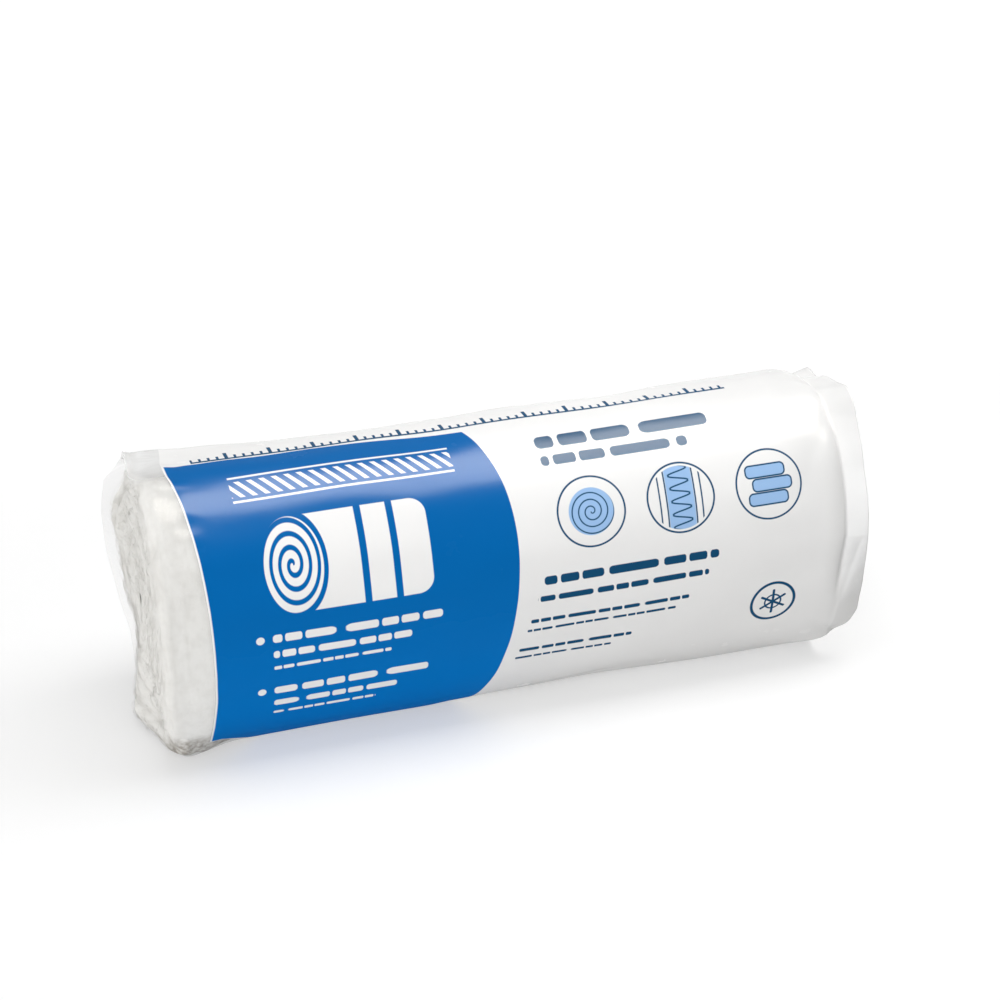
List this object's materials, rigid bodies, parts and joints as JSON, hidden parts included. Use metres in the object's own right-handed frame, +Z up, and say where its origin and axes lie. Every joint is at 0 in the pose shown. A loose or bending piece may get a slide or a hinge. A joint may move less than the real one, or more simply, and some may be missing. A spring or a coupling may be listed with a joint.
{
  "type": "insulation roll",
  "caption": "Glass-fibre insulation batt rolled up tight, squeezed to an upright oval and held in a printed film sleeve that is open at both ends.",
  "frame": {"origin": "on the floor, under the middle of the sleeve's box", "axes": "+X along the roll, +Z up, the printed front faces -Y"},
  "size_m": [0.429, 0.137, 0.165],
  "materials": {
    "glass_fibre": "matt white glass wool, fibrous and mottled",
    "printed_film": "thin glossy polythene film, printed blue and white, clear at the ends"
  },
  "bodies": {
    "root": {"insulation_roll": "glass_fibre", "film_sleeve": "printed_film"}
  },
  "joints": []
}
